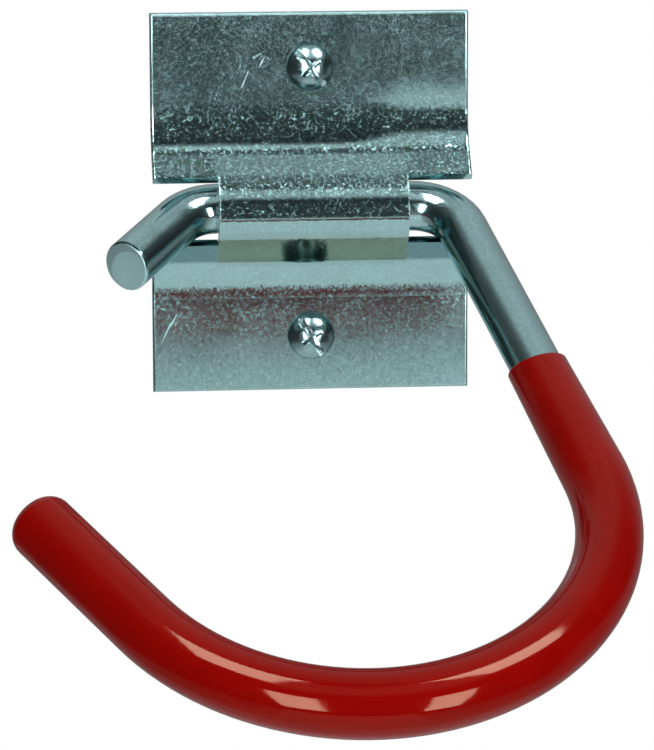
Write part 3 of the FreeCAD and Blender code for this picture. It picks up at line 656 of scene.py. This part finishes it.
# Brightness by elevation to the front, to the sides and to the back
front_drape = (
    (dome_foot, 0.05),
    (10, 0.04),
    (27, 0.03),
    (44, 0.08),
    (64, 0.05),
    (71, 0.07),
    (76, 0.18),
    (80, 0.38),
    (90, 0.45),
)
side_drape = (
    (dome_foot, 0.06),
    (10, 0.03),
    (25, 0.05),
    (44, 0.1),
    (50, 0.14),
    (57, 0.22),
    (64, 0.4),
    (71, 0.5),
    (90, 0.5),
)
back_cards = (
    (dome_foot, 0.25),
    (6, 0.28),
    (26, 0.42),
    (39, 0.5),
    (50, 0.56),
    (69, 0.63),
    (76, 0.58),
    (90, 0.5),
)
front = through(tree, elevation, front_drape)
side = through(tree, elevation, side_drape)
back = through(tree, elevation, back_cards)
brightness = blend(tree, remap(tree, turned, 12, 60, smooth=True), front, side)
brightness = blend(tree, remap(tree, turned, 106, 138, smooth=True), brightness, back)
# Glow of a pale card in front above, between the softboxes, and of one low on the right, added to the
# dome's glow
high_card = ((dome_foot, 0.0), (31, 0.0), (41, 0.5), (58, 0.5), (67, 0.0), (90, 0.0))
high_card_width = ((-180, 0.0), (-26, 0.0), (-14, 1.0), (34, 1.0), (46, 0.0), (180, 0.0))
right_card = ((dome_foot, 0.2), (-6, 0.2), (4, 0.0), (90, 0.0))
right_card_width = ((-180, 0.0), (70, 0.0), (80, 1.0), (115, 1.0), (130, 0.0), (180, 0.0))
for card, width in ((high_card, high_card_width), (right_card, right_card_width)):
    shine = calc(tree, "MULTIPLY", through(tree, elevation, card), through(tree, azimuth, width))
    brightness = calc(tree, "ADD", brightness, shine)
link(tree, brightness, tree.nodes["Principled BSDF"].inputs["Emission Strength"])
bm = bmesh.new()
foot = bm.verts.new(dome_radius * towards(-180, dome_foot))
rise = math.radians(90 - dome_foot)
bmesh.ops.spin(bm, geom=[foot], cent=(0, 0, 0), axis=(1, 0, 0), angle=rise, steps=24)
bmesh.ops.spin(
    bm, geom=bm.edges[:], cent=(0, 0, 0), axis=(0, 0, 1), angle=math.tau, steps=72, use_merge=True
)
bmesh.ops.remove_doubles(bm, verts=bm.verts, dist=0.0001)
dome = new_object("dome", bm)
dome.data.materials.append(glowing_drapes)
only_for_gloss(dome)

# A glowing pale card low in front, above the floor; its glow stands in for a lit card
card_distance = 0.6
half_angles = (math.tan(math.radians(22)), math.tan(math.radians(26)), 1.0)
bm = bmesh.new()
bmesh.ops.create_grid(bm, x_segments=1, y_segments=1, size=card_distance)
bmesh.ops.scale(bm, verts=bm.verts, vec=half_angles)
bmesh.ops.transform(bm, verts=bm.verts, matrix=facing(-4, -53, card_distance))
low_front_card = new_object("low_front_card", bm)
low_front_card.data.materials.append(glow("low_front_card_glow", 0.8))
only_for_gloss(low_front_card)

world = bpy.data.worlds.new("studio")
bpy.context.scene.world = world
world.use_nodes = True
tree = world.node_tree
backdrop = tree.nodes["Background"]
backdrop.inputs["Color"].default_value = (1.0, 1.0, 1.0, 1.0)
rays = add(tree, "ShaderNodeLightPath")
seen = calc(tree, "ADD", rays.outputs["Is Camera Ray"], rays.outputs["Is Glossy Ray"])
seen = calc(tree, "ADD", seen, rays.outputs["Is Transmission Ray"], clamp=True)
link(tree, remap(tree, seen, 0.0, 1.0, 0.25, 1.0), backdrop.inputs["Strength"])


# Camera. A long lens that looks slightly down on the bracket from the front left. Its place, direction
# and lens were fitted to the object's outline.

camera = bpy.data.objects.new("camera", bpy.data.cameras.new("camera"))
bpy.context.scene.collection.objects.link(camera)
camera.data.lens = 189.84
camera.data.sensor_width = 36.0
camera.data.clip_end = 100.0
eye = Vector((-0.070365, -0.790167, 0.098148))
forward = Vector((0.09168, 0.9818, -0.16633)).normalized()
right = Vector((0.9956, -0.0936, -0.00372)).normalized()
up = right.cross(forward)
turn = Matrix((right, up, -forward)).transposed().to_4x4()
camera.matrix_world = Matrix.Translation(eye) @ turn
bpy.context.scene.camera = camera
bpy.context.scene.view_settings.view_transform = "Standard"
